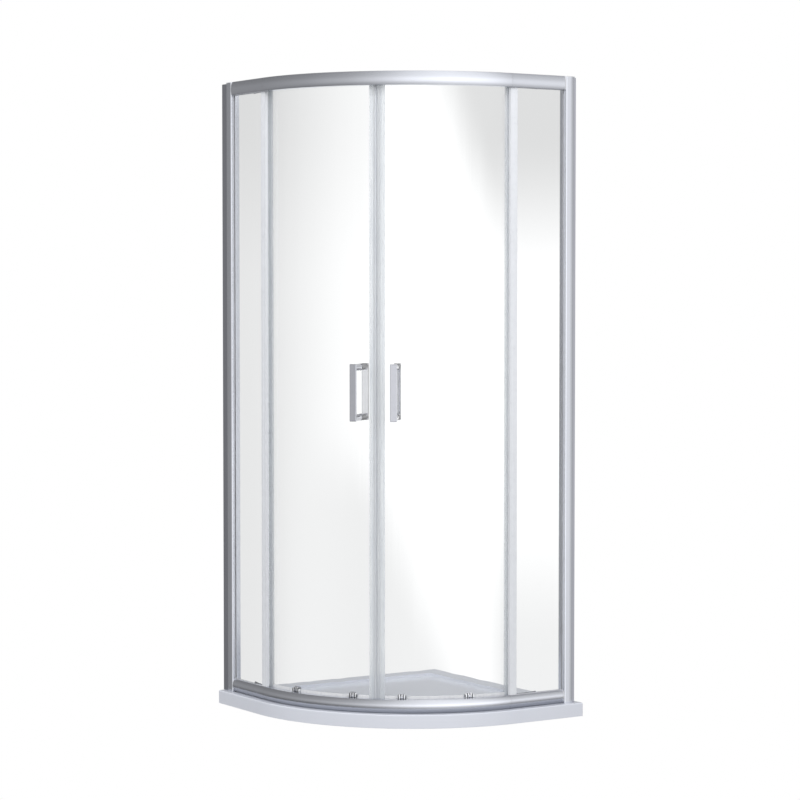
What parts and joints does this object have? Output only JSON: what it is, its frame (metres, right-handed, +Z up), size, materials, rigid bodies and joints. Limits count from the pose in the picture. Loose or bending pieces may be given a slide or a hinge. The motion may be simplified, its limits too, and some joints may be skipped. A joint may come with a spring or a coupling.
{
  "type": "quadrant shower enclosure",
  "caption": "Quadrant shower enclosure: low white tray, satin aluminium frame, fixed side panes and curved glass doors that slide apart on grooved wheels.",
  "frame": {"origin": "middle of the square that holds the tray, on the floor under it", "axes": "+Z up; the room corner is at (-X, +Y); the curved front faces (+X, -Y) and the doors meet on the diagonal"},
  "size_m": [0.8, 0.8, 1.9],
  "materials": {
    "tray_white": "smooth gloss white",
    "aluminium_satin": "satin silver",
    "cap_grey": "satin moulded",
    "glass_clear": "clear toughened",
    "gasket_grey": "soft grey",
    "rubber_dark": "soft black",
    "chrome": "polished",
    "steel": "plain",
    "pvc_clear": "clear soft",
    "magnet_dark": "plain",
    "nylon_white": "plain",
    "bush_clear": "clear"
  },
  "bodies": {
    "frame": {"shower_tray": "tray_white", "waste_cover": "chrome", "bottom_rail": "aluminium_satin", "top_rail": "aluminium_satin", "rail_end_caps": "cap_grey", "rail_screws": "steel", "door_stops": "rubber_dark", "right_post": "aluminium_satin", "left_post": "aluminium_satin", "post_caps": "cap_grey", "lock_screws": "steel", "right_fixed_glass": "glass_clear", "left_fixed_glass": "glass_clear", "glazing_gaskets": "gasket_grey", "right_fixed_stile": "aluminium_satin", "left_fixed_stile": "aluminium_satin"},
    "right_channel": {"right_wall_channel": "aluminium_satin"},
    "left_channel": {"left_wall_channel": "aluminium_satin"},
    "right_door": {"right_door_glass": "glass_clear", "right_magnet_strip": "pvc_clear", "right_magnet": "magnet_dark", "right_rear_strip": "pvc_clear", "right_bottom_seal": "pvc_clear", "right_outer_handle": "chrome", "right_inner_handle": "chrome", "right_handle_studs": "steel", "right_glass_bushes": "bush_clear", "right_top_axles": "chrome", "right_cap_nuts": "chrome", "right_roller_housings": "chrome", "right_housing_screws": "chrome", "right_front_spring": "steel", "right_rear_spring": "steel"},
    "right_front_top_wheel": {"right_front_top_wheel": "nylon_white"},
    "right_front_slider": {"right_front_slider": "chrome"},
    "right_front_bottom_wheel": {"right_front_bottom_wheel": "nylon_white"},
    "right_rear_top_wheel": {"right_rear_top_wheel": "nylon_white"},
    "right_rear_slider": {"right_rear_slider": "chrome"},
    "right_rear_bottom_wheel": {"right_rear_bottom_wheel": "nylon_white"},
    "left_door": {"left_door_glass": "glass_clear", "left_magnet_strip": "pvc_clear", "left_magnet": "magnet_dark", "left_rear_strip": "pvc_clear", "left_bottom_seal": "pvc_clear", "left_outer_handle": "chrome", "left_inner_handle": "chrome", "left_handle_studs": "steel", "left_glass_bushes": "bush_clear", "left_top_axles": "chrome", "left_cap_nuts": "chrome", "left_roller_housings": "chrome", "left_housing_screws": "chrome", "left_front_spring": "steel", "left_rear_spring": "steel"},
    "left_front_top_wheel": {"left_front_top_wheel": "nylon_white"},
    "left_front_slider": {"left_front_slider": "chrome"},
    "left_front_bottom_wheel": {"left_front_bottom_wheel": "nylon_white"},
    "left_rear_top_wheel": {"left_rear_top_wheel": "nylon_white"},
    "left_rear_slider": {"left_rear_slider": "chrome"},
    "left_rear_bottom_wheel": {"left_rear_bottom_wheel": "nylon_white"}
  },
  "joints": [
    {"name": "right_channel_slide", "type": "slide", "parent": "frame", "child": "right_channel", "axis": [0, 1, 0], "range_m": [0, 0.02]},
    {"name": "left_channel_slide", "type": "slide", "parent": "frame", "child": "left_channel", "axis": [1, 0, 0], "range_m": [0, 0.02]},
    {"name": "right_door_slide", "type": "hinge", "parent": "frame", "child": "right_door", "pos_m": [-0.15, 0.15, 0], "axis": [0, 0, 1], "range_deg": [0, 24]},
    {"name": "right_front_top_wheel_spin", "type": "hinge", "parent": "right_door", "child": "right_front_top_wheel", "pos_m": [0.25636, -0.15234, 1.879], "axis": [0.8023, -0.5969, 0], "continuous": true},
    {"name": "right_front_slider_release", "type": "slide", "parent": "right_door", "child": "right_front_slider", "axis": [0, 0, -1], "range_m": [0, 0.005], "stiffness_N_per_m": 800, "springref_m": -0.003, "deforming": ["right_front_spring"]},
    {"name": "right_front_bottom_wheel_spin", "type": "hinge", "parent": "right_front_slider", "child": "right_front_bottom_wheel", "pos_m": [0.25636, -0.15234, 0.061], "axis": [0.8023, -0.5969, 0], "continuous": true},
    {"name": "right_rear_top_wheel_spin", "type": "hinge", "parent": "right_door", "child": "right_rear_top_wheel", "pos_m": [0.34167, 0.02832, 1.879], "axis": [0.9707, -0.2402, 0], "continuous": true},
    {"name": "right_rear_slider_release", "type": "slide", "parent": "right_door", "child": "right_rear_slider", "axis": [0, 0, -1], "range_m": [0, 0.005], "stiffness_N_per_m": 800, "springref_m": -0.003, "deforming": ["right_rear_spring"]},
    {"name": "right_rear_bottom_wheel_spin", "type": "hinge", "parent": "right_rear_slider", "child": "right_rear_bottom_wheel", "pos_m": [0.34167, 0.02832, 0.061], "axis": [0.9707, -0.2402, 0], "continuous": true},
    {"name": "left_door_slide", "type": "hinge", "parent": "frame", "child": "left_door", "pos_m": [-0.15, 0.15, 0], "axis": [0, 0, -1], "range_deg": [0, 24]},
    {"name": "left_front_top_wheel_spin", "type": "hinge", "parent": "left_door", "child": "left_front_top_wheel", "pos_m": [0.15234, -0.25636, 1.879], "axis": [0.5969, -0.8023, 0], "continuous": true},
    {"name": "left_front_slider_release", "type": "slide", "parent": "left_door", "child": "left_front_slider", "axis": [0, 0, -1], "range_m": [0, 0.005], "stiffness_N_per_m": 800, "springref_m": -0.003, "deforming": ["left_front_spring"]},
    {"name": "left_front_bottom_wheel_spin", "type": "hinge", "parent": "left_front_slider", "child": "left_front_bottom_wheel", "pos_m": [0.15234, -0.25636, 0.061], "axis": [0.5969, -0.8023, 0], "continuous": true},
    {"name": "left_rear_top_wheel_spin", "type": "hinge", "parent": "left_door", "child": "left_rear_top_wheel", "pos_m": [-0.02832, -0.34167, 1.879], "axis": [0.2402, -0.9707, 0], "continuous": true},
    {"name": "left_rear_slider_release", "type": "slide", "parent": "left_door", "child": "left_rear_slider", "axis": [0, 0, -1], "range_m": [0, 0.005], "stiffness_N_per_m": 800, "springref_m": -0.003, "deforming": ["left_rear_spring"]},
    {"name": "left_rear_bottom_wheel_spin", "type": "hinge", "parent": "left_rear_slider", "child": "left_rear_bottom_wheel", "pos_m": [-0.02832, -0.34167, 0.061], "axis": [0.2402, -0.9707, 0], "continuous": true}
  ],
  "couplings": [
    {"joint": "right_front_top_wheel_spin", "follows": "right_door_slide", "ratio": -72.357},
    {"joint": "right_front_bottom_wheel_spin", "follows": "right_door_slide", "ratio": 72.357},
    {"joint": "right_rear_top_wheel_spin", "follows": "right_door_slide", "ratio": -72.357},
    {"joint": "right_rear_bottom_wheel_spin", "follows": "right_door_slide", "ratio": 72.357},
    {"joint": "left_front_top_wheel_spin", "follows": "left_door_slide", "ratio": 72.357},
    {"joint": "left_front_bottom_wheel_spin", "follows": "left_door_slide", "ratio": -72.357},
    {"joint": "left_rear_top_wheel_spin", "follows": "left_door_slide", "ratio": 72.357},
    {"joint": "left_rear_bottom_wheel_spin", "follows": "left_door_slide", "ratio": -72.357}
  ]
}
